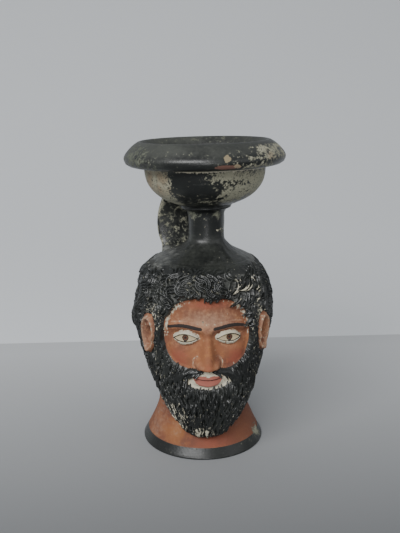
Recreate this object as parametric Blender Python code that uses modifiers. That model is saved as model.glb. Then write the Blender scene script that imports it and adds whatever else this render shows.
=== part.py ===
"""Head aryballos: a small oil vessel whose body is a moulded, bearded head on a flared foot.

One hollow piece of fired clay. The face looks along -Y, +Z is up, and the origin lies on the
ground under the centre of the mouth. The head is a loft of closed sections, the neck, bowl and
lip are turned, the strap handle is swept, and the hollow inside is cut out of their union.
"""
import math

import bmesh
import bpy
import numpy as np

MM = 0.001
NAME = "head_aryballos"

# Foot and throat, turned
FOOT_RADIUS = 30.8 * MM
FOOT_BAND = 5.0 * MM
FOOT_EDGE = 0.9 * MM
THROAT_RADIUS = 22.2 * MM
THROAT_HEIGHT = 20.0 * MM

# Head, from the axis to the surface of the hair and beard
CROWN_HEIGHT = 103.0 * MM
HEAD_HALF_WIDTH = 34.4 * MM
HEAD_FRONT = 34.2 * MM
HEAD_BACK = 36.2 * MM
HEAD_OFFSET = -0.8 * MM
HAIR_DEPTH = 2.6 * MM
LOCK_RELIEF = 2.2 * MM
LOCK_WIDTH = 11.0 * MM
STRAND_RELIEF = 1.1 * MM
STRAND_WAVE = 3.4 * MM
BEARD_DROP = 15.5 * MM
NAPE_HEIGHT = 25.0 * MM

# Vessel neck, bowl and lip, turned. The neck reaches down into the crown by its overlap.
NECK_RADIUS = 8.6 * MM
NECK_LENGTH = 14.5 * MM
NECK_OVERLAP = 5.0 * MM
BOWL_RADIUS = 29.0 * MM
BOWL_HEIGHT = 20.8 * MM
BASE_RING = 12.8 * MM
LIP_RADIUS = 38.4 * MM
LIP_HEIGHT = 11.7 * MM
RIDGE_RADIUS = 31.2 * MM
MOUTH_TILT = math.radians(1.3)

# Hollow
WALL = 4.2 * MM
FLOOR = 4.2 * MM
BORE_RADIUS = 4.5 * MM
# Where the cavity's last ring is taken from, as a share of the crown's height.
CAVITY_TOP = 0.965

# Strap handle, behind the neck
HANDLE_WIDTH = 36.0 * MM
HANDLE_THICKNESS = 3.6 * MM
HANDLE_REACH = 25.0 * MM
HANDLE_TURN = math.radians(12.0)

# Mesh density
HEAD_COLUMNS = 60
HEAD_ROWS = 20
COLUMN_CROWDING = 0.18
CAVITY_COLUMNS = 16
TURNED_STEPS = 30
BORE_STEPS = 12
WELD = 0.01 * MM

# The head's outline as shares: height of the crown, half width, front and back.
# The front includes the beard below the mouth.
HEAD_OUTLINE = (
    (0.090, 0.57, 0.80, 0.53),
    (0.120, 0.59, 0.87, 0.55),
    (0.160, 0.62, 0.95, 0.58),
    (0.215, 0.67, 1.02, 0.65),
    (0.255, 0.69, 1.06, 0.70),
    (0.315, 0.735, 1.09, 0.78),
    (0.390, 0.79, 1.08, 0.87),
    (0.460, 0.86, 1.04, 0.94),
    (0.540, 0.92, 1.01, 0.98),
    (0.615, 0.97, 1.00, 1.00),
    (0.690, 0.985, 0.99, 1.00),
    (0.770, 0.95, 0.96, 0.96),
    (0.825, 0.90, 0.91, 0.90),
    (0.865, 0.83, 0.84, 0.82),
    (0.888, 0.76, 0.77, 0.74),
    (0.908, 0.68, 0.68, 0.65),
    (0.925, 0.57, 0.57, 0.54),
)
# The power of the superellipse that every level of the head follows.
SQUARENESS = 2.15
# The neck's root on the crown: share of the crown's height, and of the neck's radius.
NECK_ROOT = ((0.942, 1.837), (0.961, 1.442), (0.979, 1.186), (1.0, 0.884))
# Where the smooth cap gives way to hair, as a share of the crown's height.
CAP_EDGE = 0.908

# The face has three equal thirds from hairline to chin. Its places and heights below are in
# thirds, counted sideways from the middle and upwards from the chin.
FACE_TOP = 0.800 * CROWN_HEIGHT
CHIN_HEIGHT = 0.300 * CROWN_HEIGHT
THIRD = (FACE_TOP - CHIN_HEIGHT) / 3
EYE = (0.63, 1.80)
EYE_SIZE = (0.34, 0.20)
MOUTH = (0.0, 0.70)
MOUTH_SIZE = (0.60, 0.21)
SKIN_CENTRE = 1.90
SKIN_HALF_WIDTH = 1.37
SKIN_RISE = 1.10
SKIN_FALL = 1.02
EAR_ANGLE = math.radians(52.0)
EAR_CENTRE = 1.80
EAR_SIZE = (0.29, 0.57)
EAR_LEAN = math.radians(-8.0)

# The beard's lower edge, from its tip under the chin to the nape: angle and share of the drop.
BEARD_EDGE = (
    (0, 1.00), (15, 0.90), (25, 0.60), (33, 0.28), (40, 0.05), (50, -0.12), (75, -0.04), (180, 0.0),
)


def ramp(value, low, high):
    """Smooth step from 0 at low to 1 at high."""
    t = np.clip((value - low) / (high - low), 0.0, 1.0)
    return t * t * (3.0 - 2.0 * t)


def bump(across, up, centre, size):
    """Round bump of height 1: exp(-(x/a)^2 - (y/b)^2)."""
    return np.exp(-(((across - centre[0]) / size[0]) ** 2) - ((up - centre[1]) / size[1]) ** 2)


def through(value, knots_at, knots):
    """Cubic curve through knots, with the slope at each knot from its two neighbours."""
    knots_at = np.asarray(knots_at, float)
    knots = np.asarray(knots, float)
    slope = np.gradient(knots, knots_at)
    value = np.clip(value, knots_at[0], knots_at[-1])
    i = np.clip(np.searchsorted(knots_at, value, side="right") - 1, 0, len(knots) - 2)
    gap = knots_at[i + 1] - knots_at[i]
    t = (value - knots_at[i]) / gap
    rise = knots[i] * (1 + 2 * t) * (1 - t) ** 2 + knots[i + 1] * t * t * (3 - 2 * t)
    return rise + gap * (slope[i] * t * (1 - t) ** 2 - slope[i + 1] * t * t * (1 - t))


def throat_radius(z):
    """The foot's flare: radius falls as a power of the height left up to the throat."""
    flare = np.clip(1.0 - z / THROAT_HEIGHT, 0.0, 1.0) ** 1.35
    edge = FOOT_EDGE * (1.0 - np.sqrt(1.0 - np.clip(1.0 - z / FOOT_EDGE, 0.0, 1.0) ** 2))
    return THROAT_RADIUS + (FOOT_RADIUS - THROAT_RADIUS) * flare - edge


def outline_rows():
    rows = [
        (h * CROWN_HEIGHT, w * HEAD_HALF_WIDTH, f * HEAD_FRONT, b * HEAD_BACK)
        for h, w, f, b in HEAD_OUTLINE
    ]
    for share, flare in NECK_ROOT:
        radius = NECK_RADIUS * flare
        rows.append((CROWN_HEIGHT * share, radius, radius, radius))
    return np.array(rows)


def head_section(theta, z):
    """Radius of the hair and beard's surface: |sin/W|^n + |cos/D|^n = 1/r^n at each height."""
    rows = outline_rows()
    width = through(z, rows[:, 0], rows[:, 1])
    front = through(z, rows[:, 0], rows[:, 2])
    back = through(z, rows[:, 0], rows[:, 3])
    depth = np.where(np.cos(theta) > 0, front, back)
    aside = np.abs(np.sin(theta) / width) ** SQUARENESS
    ahead = np.abs(np.cos(theta) / depth) ** SQUARENESS
    return (aside + ahead) ** (-1.0 / SQUARENESS)


def lower_edge(theta):
    """Height of the beard's lower edge in front and of the hair's at the nape."""
    angle = np.abs(np.degrees(theta))
    drop = through(angle, [a for a, _ in BEARD_EDGE], [s for _, s in BEARD_EDGE])
    return NAPE_HEIGHT - BEARD_DROP * drop


def face_zones(theta, z):
    """Shares of bare skin and bare mouth at each point, 0 to 1, in face thirds."""
    across = np.abs(theta) * HEAD_FRONT / THIRD
    up = (z - CHIN_HEIGHT) / THIRD
    reach = np.where(up > SKIN_CENTRE, SKIN_RISE, SKIN_FALL)
    level = (across / SKIN_HALF_WIDTH) ** 2.6 + (np.abs(up - SKIN_CENTRE) / reach) ** 2.6
    skin = ramp(1.0 - level, 0.0, 0.30)
    oval = ((across - MOUTH[0]) / MOUTH_SIZE[0]) ** 2 + ((up - MOUTH[1]) / MOUTH_SIZE[1]) ** 2
    mouth = ramp(1.0 - oval, -0.3, 0.3)
    return across, up, skin, mouth


def face_relief(across, up):
    """Heights of a calm, regular face over its plain skin, in thirds."""
    brow_line = 2.0 + 0.07 * np.exp(-(((across - 0.75) / 0.35) ** 2))
    brow = 0.07 * np.exp(-(((up - brow_line) / 0.12) ** 2)) * (1 - ramp(across, 1.05, 1.3))
    socket = -0.11 * bump(across, up, EYE, (0.40, 0.24))
    ring = ((across - EYE[0]) / EYE_SIZE[0]) ** 2 + ((up - EYE[1]) / EYE_SIZE[1]) ** 2
    ball = 0.14 * np.clip(1.0 - ring, 0.0, 1.0) ** 0.7
    lids = 0.035 * np.exp(-(((np.sqrt(ring) - 1.08) / 0.16) ** 2))

    along = up - 1.0
    levels = (-0.08, 0.0, 0.12, 0.22, 0.5, 0.8, 1.1)
    bridge = through(along, levels, (0.0, 0.14, 0.37, 0.37, 0.25, 0.13, 0.0))
    half = 0.13 + 0.10 * np.clip(1.0 - along, 0.0, 1.0) ** 1.5
    nose = bridge * np.exp(-((across / half) ** 2.5))
    wings = 0.17 * bump(across, along, (0.25, 0.13), (0.11, 0.12))

    cheeks = 0.07 * bump(across, up, (0.88, 1.35), (0.34, 0.34))
    muzzle = 0.10 * bump(across, up, (0.0, 0.72), (0.52, 0.36))
    upper_lip = 0.06 * np.exp(-(((up - 0.80) / 0.07) ** 2)) * np.clip(1 - (across / 0.50) ** 2, 0, 1)
    lower_lip = 0.09 * np.exp(-(((up - 0.60) / 0.08) ** 2)) * np.clip(1 - (across / 0.44) ** 2, 0, 1)
    return brow + socket + ball + lids + nose + wings + cheeks + muzzle + upper_lip + lower_lip


def moustache(across, up):
    """Two strands from under the nose, round the corners of the mouth and into the beard."""
    line = 0.96 - 0.36 * across ** 2
    return np.exp(-(((up - line) / 0.11) ** 2)) * ramp(across, 0.05, 0.16)


def ear_relief(theta, up):
    """Share of ear at each point, and its height in thirds: a rim round a hollow."""
    side = (np.abs(theta) - EAR_ANGLE) * HEAD_HALF_WIDTH / THIRD
    rise = up - EAR_CENTRE
    turned = side * math.cos(EAR_LEAN) - rise * math.sin(EAR_LEAN)
    upright = side * math.sin(EAR_LEAN) + rise * math.cos(EAR_LEAN)
    narrow = 1.0 + 0.28 * np.clip(-upright / EAR_SIZE[1], -1.0, 1.0)
    ring = np.sqrt((turned * narrow / EAR_SIZE[0]) ** 2 + (upright / EAR_SIZE[1]) ** 2)
    share = 1.0 - ramp(ring, 0.92, 1.15)
    rim = 0.13 * np.exp(-(((ring - 0.78) / 0.24) ** 2))
    hollow = -0.09 * np.exp(-((ring / 0.45) ** 2))
    return share, rim + hollow - 0.03


def lock_rows(theta, z, split):
    """One size of S-shaped locks in staggered rows: LOCK_WIDTH apart, or split times finer."""
    row = split * (CAP_EDGE * CROWN_HEIGHT - z) / LOCK_WIDTH
    count = round(2 * math.pi * HEAD_HALF_WIDTH / LOCK_WIDTH)
    phase = split * count * (theta + COLUMN_CROWDING * np.sin(theta)) + math.pi * np.floor(row)
    swing = 1.3 * np.sin(2 * math.pi * row)
    swell = np.sqrt(np.abs(np.sin(math.pi * row)))
    return (0.5 + 0.5 * np.cos(phase + swing)) * (0.25 + 0.75 * swell) - 0.4


def locks(theta, z):
    """Small locks over the forehead, and broader ones at the sides and back."""
    behind = ramp(np.abs(theta), 0.80, 0.95)
    return 0.6 * (1 - behind) * lock_rows(theta, z, 1.7) + behind * lock_rows(theta, z, 1.0)


def strands(theta, z):
    """Wavy upright strands of the beard, which draw together towards its tip."""
    spread = 0.55 + 0.45 * ramp(z, NAPE_HEIGHT - BEARD_DROP, CHIN_HEIGHT)
    phase = theta * 24 / spread + 0.9 * np.sin(z / STRAND_WAVE)
    return np.cos(phase) - 0.2


def carving(theta, z):
    """Height of the relief over the hair's surface, and the share of bare skin."""
    across, up, skin, mouth = face_zones(theta, z)
    ear, ear_height = ear_relief(theta, up)
    bare = np.maximum(skin, mouth)
    whiskers = moustache(across, up) * (1 - mouth)
    beard = (1 - ramp(np.abs(theta), 0.80, 0.95)) * (1 - ramp(up, 1.2, 1.5))
    edge = np.clip((z - lower_edge(theta)) / HAIR_DEPTH, 0.0, 1.0)
    cap = ramp(z, (CAP_EDGE - 0.012) * CROWN_HEIGHT, CAP_EDGE * CROWN_HEIGHT)
    hair = (1 - bare) * (1 - ear) * (1 - cap) * edge
    height = -HAIR_DEPTH * (bare - 0.75 * np.minimum(whiskers, bare))
    height = height + THIRD * face_relief(across, up) * bare
    height = height + hair * (1 - beard) * LOCK_RELIEF * locks(theta, z)
    height = height + hair * beard * STRAND_RELIEF * strands(theta, z)
    height = height + ear * THIRD * ear_height
    return height, bare * (1 - np.clip(2 * whiskers, 0, 1)) + ear * (1 - bare)


def meridian_normal(z):
    """Outward direction of the head's side profile at each height: radial and upright parts."""
    step = 0.004 * CROWN_HEIGHT
    rows = outline_rows()
    rise = through(z + step, rows[:, 0], rows[:, 1]) - through(z - step, rows[:, 0], rows[:, 1])
    length = np.hypot(rise, 2 * step)
    return 2 * step / length, -rise / length


def surface(theta, z, inset=0.0, carved=True):
    """Points of the outer form at each angle and height, moved inwards by the inset."""
    over = z - lower_edge(theta)
    round_edge = np.sqrt(1.0 - (1.0 - np.clip(over / HAIR_DEPTH, 0.0, 1.0)) ** 2)
    plain = throat_radius(z)
    least = plain * (1 - ramp(z, 0.30 * CROWN_HEIGHT, 0.45 * CROWN_HEIGHT))
    swell = (np.maximum(head_section(theta, z), least) - plain) * round_edge
    out, up = meridian_normal(z)
    out = 1.0 + (out - 1.0) * round_edge
    up = up * round_edge
    height = carving(theta, z)[0] * (over > 0) - inset if carved else -inset
    radius = plain + swell + height * out
    lean = ramp(z, 0.85 * CROWN_HEIGHT, CROWN_HEIGHT)
    x = HEAD_OFFSET * (1 - lean) + neck_axis() * lean + radius * np.sin(theta)
    return np.stack([x, -radius * np.cos(theta), z + height * up], axis=-1)


def neck_axis():
    """How far the neck's root stands aside, so that the tilted lip is centred on the origin."""
    lip_centre = NECK_LENGTH + BOWL_HEIGHT + 0.5 * LIP_HEIGHT
    return math.tan(MOUTH_TILT) * lip_centre


def columns(count, crowding):
    """Angles round the head, 0 at the face, where they lie closest together."""
    turn = 2 * math.pi * np.arange(count) / count - math.pi
    return turn - crowding * np.sin(turn)


def row_heights(theta):
    """Heights of the head's rows at each angle, ground to crown."""
    edge = lower_edge(theta)
    flat = np.ones_like(theta)
    rows = [height * flat for height in (0.0, 0.35 * FOOT_EDGE, FOOT_EDGE, FOOT_BAND)]
    rows += [FOOT_BAND + (edge - FOOT_BAND) * share for share in (0.3, 0.65)]
    rows += [edge + HAIR_DEPTH * share for share in (0.0, 0.12, 0.45, 1.0)]
    first = rows[-1]
    chin_row = CHIN_HEIGHT + 0.12 * THIRD
    rows += [first + (chin_row - first) * share for share in (0.33, 0.67)]
    top = CAP_EDGE * CROWN_HEIGHT
    rows += [height * flat for height in np.linspace(chin_row, top, HEAD_ROWS)]
    rows += [(top + (CROWN_HEIGHT - top) * share) * flat for share in (0.25, 0.5, 0.75, 1.0)]
    return np.array(rows)


def close_up(theta, z):
    """Whether a place lies on the face or an ear, where the mesh is twice as fine."""
    up = (z - CHIN_HEIGHT) / THIRD
    angle = abs(math.degrees(theta))
    on_face = angle < 46 and 0.36 < up < 3.3
    on_ear = angle < 66 and 1.1 < up < 2.5
    on_tip = angle < 26 and lower_edge(theta) < z and up < 0.5
    return on_face or on_ear or on_tip


def head_solid():
    """The head as a grid of angles and heights, laid on its surface."""
    theta = columns(HEAD_COLUMNS, COLUMN_CROWDING)
    work = bmesh.new()
    rings = []
    for heights in row_heights(theta):
        rings.append([work.verts.new((angle, 0.0, z)) for angle, z in zip(theta, heights)])
    for low, high in zip(rings[:-1], rings[1:]):
        for i in range(HEAD_COLUMNS):
            j = (i + 1) % HEAD_COLUMNS
            face = work.faces.new((low[i], low[j], high[j], high[i]))
            middle = face.calc_center_median()
            if j > 0 and close_up(middle.x, middle.z):
                for edge in face.edges:
                    edge.tag = True
    work.faces.new(rings[0][::-1])
    work.faces.new(rings[-1])
    fine = [edge for edge in work.edges if edge.tag]
    bmesh.ops.subdivide_edges(work, edges=fine, cuts=1, use_grid_fill=True)
    border = [face for face in work.faces if 4 < len(face.verts) < HEAD_COLUMNS]
    bmesh.ops.triangulate(work, faces=border, ngon_method="BEAUTY")
    angle = np.array([vertex.co.x for vertex in work.verts])
    height = np.array([vertex.co.z for vertex in work.verts])
    bare = np.where(height < lower_edge(angle), height > FOOT_BAND, carving(angle, height)[1])
    for face in work.faces:
        share = sum(bare[vertex.index] for vertex in face.verts) / len(face.verts)
        face.material_index = int(share > 0.5)
    for vertex, point in zip(work.verts, surface(angle, height)):
        vertex.co = point
    bmesh.ops.recalc_face_normals(work, faces=work.faces)
    for face in work.faces:
        face.smooth = True
    mesh = bpy.data.meshes.new(NAME)
    work.to_mesh(mesh)
    work.free()
    return bpy.data.objects.new(NAME, mesh)


def ring_object(name, points):
    """A closed mesh from rings of points, with a flat cap on each end."""
    work = bmesh.new()
    rings = [[work.verts.new(point) for point in ring] for ring in points]
    for low, high in zip(rings[:-1], rings[1:]):
        for i in range(len(low)):
            j = (i + 1) % len(low)
            work.faces.new((low[i], low[j], high[j], high[i]))
    work.faces.new(rings[0][::-1])
    work.faces.new(rings[-1])
    bmesh.ops.recalc_face_normals(work, faces=work.faces)
    for face in work.faces:
        face.smooth = True
    mesh = bpy.data.meshes.new(name)
    work.to_mesh(mesh)
    work.free()
    return bpy.data.objects.new(name, mesh)


def cavity_cutter():
    """The empty head: the outer form without its carving, moved in by hair and wall."""
    theta = columns(CAVITY_COLUMNS, 0.0)
    low = np.linspace(FLOOR, THROAT_HEIGHT, 3)
    high = np.linspace(NAPE_HEIGHT + HAIR_DEPTH + WALL, CAVITY_TOP * CROWN_HEIGHT, 10)
    z = np.concatenate([low, high])[:, None] + 0.0 * theta
    inset = np.where(z <= THROAT_HEIGHT, WALL, WALL + HAIR_DEPTH)
    points = surface(np.broadcast_to(theta, z.shape), z, inset, carved=False)
    return ring_object("cavity_cutter", points)


def turned_object(name, profile, steps):
    """A solid of revolution about Z from (radius, height) points, top to bottom."""
    mesh = bpy.data.meshes.new(name)
    points = [(radius, 0.0, height) for radius, height in profile]
    mesh.from_pydata(points, [(i, i + 1) for i in range(len(points) - 1)], [])
    solid = bpy.data.objects.new(name, mesh)
    screw = solid.modifiers.new("Turn", "SCREW")
    screw.steps = steps
    screw.render_steps = steps
    screw.use_merge_vertices = True
    screw.merge_threshold = WELD
    screw.use_smooth_shade = True
    return solid


def mouth_solid():
    """Lip, bowl and neck, with heights from the crown up."""
    lip_base = NECK_LENGTH + BOWL_HEIGHT
    top = lip_base + LIP_HEIGHT
    widest = lip_base + 0.32 * LIP_HEIGHT
    profile = [(0.0, top), (0.971 * RIDGE_RADIUS, top), (RIDGE_RADIUS, top - 0.026 * LIP_HEIGHT)]
    for share, rise in ((0.33, 0.81), (0.75, 0.42), (0.96, 0.13), (1.0, 0.0)):
        radius = RIDGE_RADIUS + (LIP_RADIUS - RIDGE_RADIUS) * share
        profile.append((radius, widest + (top - widest) * rise))
    for share, rise in ((0.97, 0.55), (0.80, 0.20), (0.50, 0.0), (0.06, 0.0)):
        radius = BOWL_RADIUS + (LIP_RADIUS - BOWL_RADIUS) * share
        profile.append((radius, lip_base + (widest - lip_base) * rise))
    for share, rise in ((1.0, 0.83), (0.955, 0.62), (0.876, 0.45), (0.755, 0.30), (0.59, 0.18)):
        profile.append((BOWL_RADIUS * share, NECK_LENGTH + BOWL_HEIGHT * rise))
    for share, rise in ((1.047, 0.106), (1.016, 0.0625), (0.891, 0.029)):
        profile.append((BASE_RING * share, NECK_LENGTH + BOWL_HEIGHT * rise))
    profile += [(1.14 * NECK_RADIUS, NECK_LENGTH), (NECK_RADIUS, 0.862 * NECK_LENGTH)]
    profile += [(NECK_RADIUS, -NECK_OVERLAP), (0.0, -NECK_OVERLAP)]
    return turned_object("mouth_solid", profile, TURNED_STEPS)


def bowl_cutter():
    """The bowl's inside: a wall in from the ridge and the bowl, down to the bore."""
    lip_base = NECK_LENGTH + BOWL_HEIGHT
    top = lip_base + LIP_HEIGHT
    floor = NECK_LENGTH + WALL
    inner = BOWL_RADIUS - WALL
    ridge = 0.949 * RIDGE_RADIUS
    profile = [(0.0, top + WALL), (ridge, top + WALL), (ridge, top - 0.026 * LIP_HEIGHT)]
    profile += [(0.55 * ridge + 0.45 * inner, top - 0.21 * LIP_HEIGHT)]
    profile += [(1.05 * inner, top - 0.65 * LIP_HEIGHT)]
    inside = ((1.01, 0.86), (0.96, 0.63), (0.88, 0.46), (0.76, 0.32), (0.58, 0.20), (0.26, 0.05))
    for share, rise in inside:
        profile.append((inner * share, floor + (lip_base - floor) * rise))
    profile.append((0.0, floor))
    return turned_object("bowl_cutter", profile, TURNED_STEPS)


def bore_cutter():
    """The bore through the neck, from inside the head up into the bowl."""
    low = -(WALL + HAIR_DEPTH + BORE_RADIUS)
    high = NECK_LENGTH + 0.5 * BOWL_HEIGHT
    profile = [(0.0, high), (BORE_RADIUS, high), (BORE_RADIUS, low), (0.0, low)]
    return turned_object("bore_cutter", profile, BORE_STEPS)


def handle_solid():
    """A strap swept in the upright plane behind the neck, flaring into bowl and crown."""
    top = CROWN_HEIGHT + NECK_LENGTH
    path = np.array([
        (0.79 * HANDLE_REACH, top + 0.36 * BOWL_HEIGHT),
        (0.91 * HANDLE_REACH, top + 0.10 * BOWL_HEIGHT),
        (0.99 * HANDLE_REACH, top - 0.33 * NECK_LENGTH),
        (1.00 * HANDLE_REACH, top - 0.75 * NECK_LENGTH),
        (0.97 * HANDLE_REACH, top - 1.15 * NECK_LENGTH),
        (0.91 * HANDLE_REACH, 0.935 * CROWN_HEIGHT),
        (0.84 * HANDLE_REACH, 0.895 * CROWN_HEIGHT),
    ])
    widths = HANDLE_WIDTH * np.array([0.80, 0.88, 0.97, 1.0, 0.97, 0.90, 0.92])
    at = np.arange(len(path), dtype=float)
    stations = np.linspace(0, at[-1], 13)
    reach = through(stations, at, path[:, 0])
    height = through(stations, at, path[:, 1])
    half = 0.5 * through(stations, at, widths)
    along = np.stack([np.gradient(reach), np.gradient(height)])
    along = along / np.hypot(*along)
    turn = 2 * math.pi * np.arange(12) / 12
    across = np.sign(np.cos(turn)) * np.abs(np.cos(turn)) ** 0.45
    thick = 0.5 * HANDLE_THICKNESS * np.sign(np.sin(turn)) * np.abs(np.sin(turn)) ** 0.6
    radial = reach[:, None] - thick * along[1][:, None]
    z = height[:, None] + thick * along[0][:, None]
    side = half[:, None] * across
    x = side * math.cos(HANDLE_TURN) - radial * math.sin(HANDLE_TURN)
    y = side * math.sin(HANDLE_TURN) + radial * math.cos(HANDLE_TURN)
    return ring_object("handle_solid", np.stack([x, y, z], axis=-1))


def material(name, colour, roughness):
    made = bpy.data.materials.new(name)
    made.use_nodes = True
    shader = made.node_tree.nodes["Principled BSDF"]
    shader.inputs["Base Color"].default_value = (*colour, 1.0)
    shader.inputs["Roughness"].default_value = roughness
    shader.inputs["Metallic"].default_value = 0.0
    made.diffuse_color = (*colour, 1.0)
    return made


def collection(name):
    made = bpy.data.collections.new(name)
    bpy.context.scene.collection.children.link(made)
    return made


def main():
    for old in list(bpy.data.objects):
        bpy.data.objects.remove(old, do_unlink=True)
    shown = collection(NAME)
    hidden = collection("cutters")

    head = head_solid()
    shown.objects.link(head)
    head.data.materials.append(material("black gloss slip", (0.020, 0.022, 0.020), 0.38))
    head.data.materials.append(material("terracotta", (0.34, 0.10, 0.045), 0.60))

    pivot = bpy.data.objects.new("mouth_pivot", None)
    hidden.objects.link(pivot)
    pivot.location = (neck_axis(), 0.0, CROWN_HEIGHT)
    pivot.rotation_euler = (0.0, -MOUTH_TILT, 0.0)

    mouth, bowl, bore = mouth_solid(), bowl_cutter(), bore_cutter()
    handle, cavity = handle_solid(), cavity_cutter()
    for solid in (mouth, bowl, bore):
        solid.parent = pivot
    bowl.rotation_euler = (0.0, 0.0, math.pi / TURNED_STEPS)
    steps = (
        (cavity, "DIFFERENCE"),
        (mouth, "UNION"),
        (handle, "UNION"),
        (bowl, "DIFFERENCE"),
        (bore, "DIFFERENCE"),
    )
    for solid, operation in steps:
        hidden.objects.link(solid)
        solid.hide_render = True
        solid.display_type = "WIRE"
        cut = head.modifiers.new(solid.name, "BOOLEAN")
        cut.operation = operation
        cut.solver = "EXACT"
        cut.object = solid
    bpy.context.view_layer.update()


main()
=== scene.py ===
import math

import bpy
import numpy as np
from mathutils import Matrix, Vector


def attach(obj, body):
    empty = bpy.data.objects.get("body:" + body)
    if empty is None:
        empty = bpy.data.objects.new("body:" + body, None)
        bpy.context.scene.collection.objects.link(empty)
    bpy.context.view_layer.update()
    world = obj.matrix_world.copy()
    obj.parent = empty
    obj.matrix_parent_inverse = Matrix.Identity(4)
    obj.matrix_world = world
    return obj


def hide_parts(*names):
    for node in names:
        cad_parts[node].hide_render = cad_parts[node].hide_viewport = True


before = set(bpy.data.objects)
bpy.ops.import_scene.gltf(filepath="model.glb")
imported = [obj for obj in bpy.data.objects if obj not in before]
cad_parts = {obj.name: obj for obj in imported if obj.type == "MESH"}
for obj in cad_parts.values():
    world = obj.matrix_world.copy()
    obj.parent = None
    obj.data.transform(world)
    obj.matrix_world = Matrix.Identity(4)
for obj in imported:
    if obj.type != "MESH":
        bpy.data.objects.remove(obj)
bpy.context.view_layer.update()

node = "head_aryballos"
metre = 0.001  # every size of the vase is in millimetres, and every mesh is written in metres


# Camera: the photograph's height, distance and tilt, in metres, for an image of 400 x 533

camera = {
    "sensor": 36, "lens": 63, "distance": 0.335, "height": 0.170, "azimuth": math.radians(-4),
    "down": math.radians(13.7), "shiftX": -4.5 / 400,
}


def placeCamera():
    # in front of the vase by distance, turned by azimuth about its axis and looking down at it
    made = bpy.data.objects.new("camera", bpy.data.cameras.new("camera"))
    bpy.context.scene.collection.objects.link(made)
    made.data.sensor_fit = "HORIZONTAL"
    made.data.sensor_width = camera["sensor"]
    made.data.lens = camera["lens"]
    made.data.shift_x = camera["shiftX"]
    aside, down = camera["azimuth"], camera["down"]
    back = Vector((math.sin(aside) * math.cos(down), -math.cos(aside) * math.cos(down), math.sin(down)))
    made.location = (
        math.sin(aside) * camera["distance"], -math.cos(aside) * camera["distance"], camera["height"],
    )
    made.rotation_euler = back.to_track_quat("Z", "Y").to_euler()
    bpy.context.scene.camera = made


placeCamera()
print("camera placed")


# Curves and noise that the shapes share

def ramp(value, low, high):
    # smooth step: 0 at low, 1 at high, 3t^2 - 2t^3 between
    t = np.clip((value - low) / (high - low), 0, 1)
    return t * t * (3 - 2 * t)


def fall(value, low, high):
    # the same step downwards: 1 at low, 0 at high
    return 1 - ramp(value, low, high)


def hill(across, up, centre, size):
    # round hill of height 1: exp(-(x/a)^2 - (y/b)^2)
    return np.exp(-(((across - centre[0]) / size[0]) ** 2) - ((up - centre[1]) / size[1]) ** 2)


def hills(across, up, places):
    # the highest of several hills, each given as strength, centre and size
    return highest(*(strength * hill(across, up, *place) for strength, *place in places))


def ridge(distance, width):
    # long rounded ridge of height 1: exp(-(d/w)^2)
    return np.exp(-((distance / width) ** 2))


def highest(*values):
    # the largest of several values at each point
    return np.maximum.reduce(np.broadcast_arrays(*values))


def through(value, knotsAt, knots):
    # cubic curve through knots, with the slope at each knot taken from its two neighbours
    knotsAt = np.asarray(knotsAt, float)
    knots = np.asarray(knots, float)
    slope = np.gradient(knots, knotsAt)
    value = np.clip(value, knotsAt[0], knotsAt[-1])
    i = np.clip(np.searchsorted(knotsAt, value, side="right") - 1, 0, len(knots) - 2)
    gap = knotsAt[i + 1] - knotsAt[i]
    t = (value - knotsAt[i]) / gap
    rise = knots[i] * (1 + 2 * t) * (1 - t) ** 2 + knots[i + 1] * t * t * (3 - 2 * t)
    return rise + gap * (slope[i] * t * (1 - t) ** 2 - slope[i + 1] * t * t * (1 - t))


def waver(a, b, size, seed):
    # hand-made unevenness, about -1 to 1: seven sine waves of like length in random directions
    rng = np.random.default_rng(seed)
    total = 0.0
    for turn, stretch, phase in rng.random((7, 3)):
        heading = 2 * math.pi * turn
        length = size * (0.7 + 0.8 * stretch)
        along = a * math.cos(heading) + b * math.sin(heading)
        total = total + np.sin(2 * math.pi * (along / length + phase))
    return total / 3.2  # which brings seven waves to about 1


# Head and foot, with the solid's driving sizes. Heights are over the table, and angles are counted
# from the face's middle, to the right in front

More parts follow.
